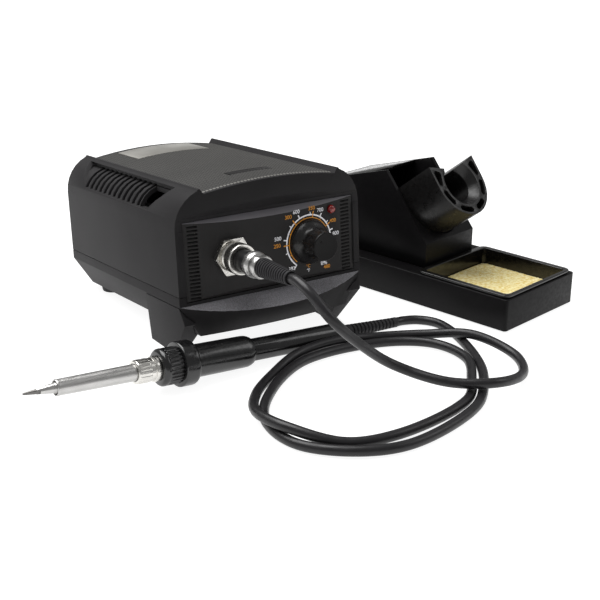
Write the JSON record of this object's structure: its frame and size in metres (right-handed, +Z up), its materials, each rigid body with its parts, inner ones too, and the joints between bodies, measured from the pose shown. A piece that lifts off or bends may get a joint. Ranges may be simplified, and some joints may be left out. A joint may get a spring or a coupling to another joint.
{
  "type": "soldering iron station",
  "caption": "Soldering station: tilted control unit with dial and cable socket, pencil iron on a looped cord, and an iron rest with wet sponge tray.",
  "frame": {"origin": "centre of the footprint of station, iron and rest, on the bench surface", "axes": "+Z up, -Y the side with the dial and the cable socket, +X along the row toward the iron rest"},
  "size_m": [0.3567, 0.2999, 0.0993],
  "materials": {
    "shell_grey": "fine moulded grain, satin",
    "black_plastic": "moulded, satin",
    "gloss_black": "moulded, glossy",
    "grip_black": "soft satin",
    "steel": "fine turned",
    "nickel": "nickel plate, satin",
    "plate_silver": "bare satin plate",
    "rubber_black": "matte",
    "cord_grey": "satin jacket",
    "lamp_red": "clear tinted lens",
    "board_green": "laminate",
    "core_steel": "varnished laminations",
    "coil_tape": "wound tape",
    "sponge_yellow": "open cellulose foam"
  },
  "bodies": {
    "station": {"upper_shell": "shell_grey", "lower_shell": "shell_grey", "leg_left": "shell_grey", "leg_right": "shell_grey", "rear_foot_left": "rubber_black", "rear_foot_right": "rubber_black", "top_plate": "plate_silver", "front_panel": "black_plastic", "lamp_lens": "lamp_red", "socket_barrel": "nickel", "socket_insert": "black_plastic", "socket_washer": "nickel", "socket_nut": "nickel", "plug_body": "black_plastic", "plug_clamp_nut": "steel", "plug_boot": "rubber_black", "pot_body": "steel", "pot_nut": "nickel", "circuit_board": "board_green", "transformer_core": "core_steel", "transformer_coil": "coil_tape", "rear_panel": "shell_grey", "mains_inlet": "black_plastic", "switch_housing": "black_plastic", "cord": "cord_grey"},
    "coupling_ring": {"coupling_ring": "nickel"},
    "knob": {"knob": "black_plastic", "knob_shaft": "steel"},
    "fuse_drawer": {"fuse_drawer": "black_plastic"},
    "switch_rocker": {"switch_rocker": "black_plastic"},
    "iron": {"bit": "nickel", "heater_core": "steel", "heater_barrel": "steel", "front_grip": "grip_black", "rear_handle": "black_plastic", "strain_relief": "rubber_black"},
    "barrel_nut": {"barrel_nut": "nickel"},
    "handle_nut": {"handle_nut": "black_plastic"},
    "iron_rest": {"rest_base": "black_plastic", "rest_foot_front_left": "rubber_black", "rest_foot_front_right": "rubber_black", "rest_foot_rear_left": "rubber_black", "rest_foot_rear_right": "rubber_black", "holder_housing": "black_plastic", "housing_lid": "gloss_black", "iron_holder": "grip_black"},
    "sponge_tray": {"sponge_tray": "gloss_black"},
    "sponge": {"sponge": "sponge_yellow"}
  },
  "joints": [
    {"name": "coupling_ring_turn", "type": "hinge", "parent": "station", "child": "coupling_ring", "pos_m": [-0.0451, -0.05692, 0.0599], "axis": [0, -0.9961, 0.0885], "range_deg": [0, 360]},
    {"name": "knob_turn", "type": "hinge", "parent": "station", "child": "knob", "pos_m": [0.0064, -0.05397, 0.05913], "axis": [0, -0.9961, 0.0885], "range_deg": [-195, 105]},
    {"name": "fuse_drawer_pull", "type": "slide", "parent": "station", "child": "fuse_drawer", "axis": [0, 0.9961, -0.0885], "range_m": [0, 0.018]},
    {"name": "switch_rock", "type": "hinge", "parent": "station", "child": "switch_rocker", "pos_m": [0.0109, 0.09815, 0.0391], "axis": [1, 0, 0], "range_deg": [-24, 0]},
    {"name": "iron_lift", "type": "slide", "parent": "station", "child": "iron", "axis": [0, -0.2588, 0.9659], "range_m": [0, 0.03]},
    {"name": "barrel_nut_turn", "type": "hinge", "parent": "iron", "child": "barrel_nut", "pos_m": [-0.11062, -0.06999, 0.01402], "axis": [0.9969, 0.0469, -0.0639], "range_deg": [0, 360]},
    {"name": "handle_nut_turn", "type": "hinge", "parent": "iron", "child": "handle_nut", "pos_m": [-0.09866, -0.06942, 0.01325], "axis": [0.9969, 0.0469, -0.0639], "range_deg": [0, 360]},
    {"name": "iron_rest_lift", "type": "slide", "parent": "station", "child": "iron_rest", "axis": [0, 0, 1], "range_m": [0, 0.05]},
    {"name": "sponge_tray_lift", "type": "slide", "parent": "iron_rest", "child": "sponge_tray", "axis": [0, 0, 1], "range_m": [0, 0.015]},
    {"name": "sponge_lift", "type": "slide", "parent": "sponge_tray", "child": "sponge", "axis": [0, 0, 1], "range_m": [0, 0.012]}
  ]
}
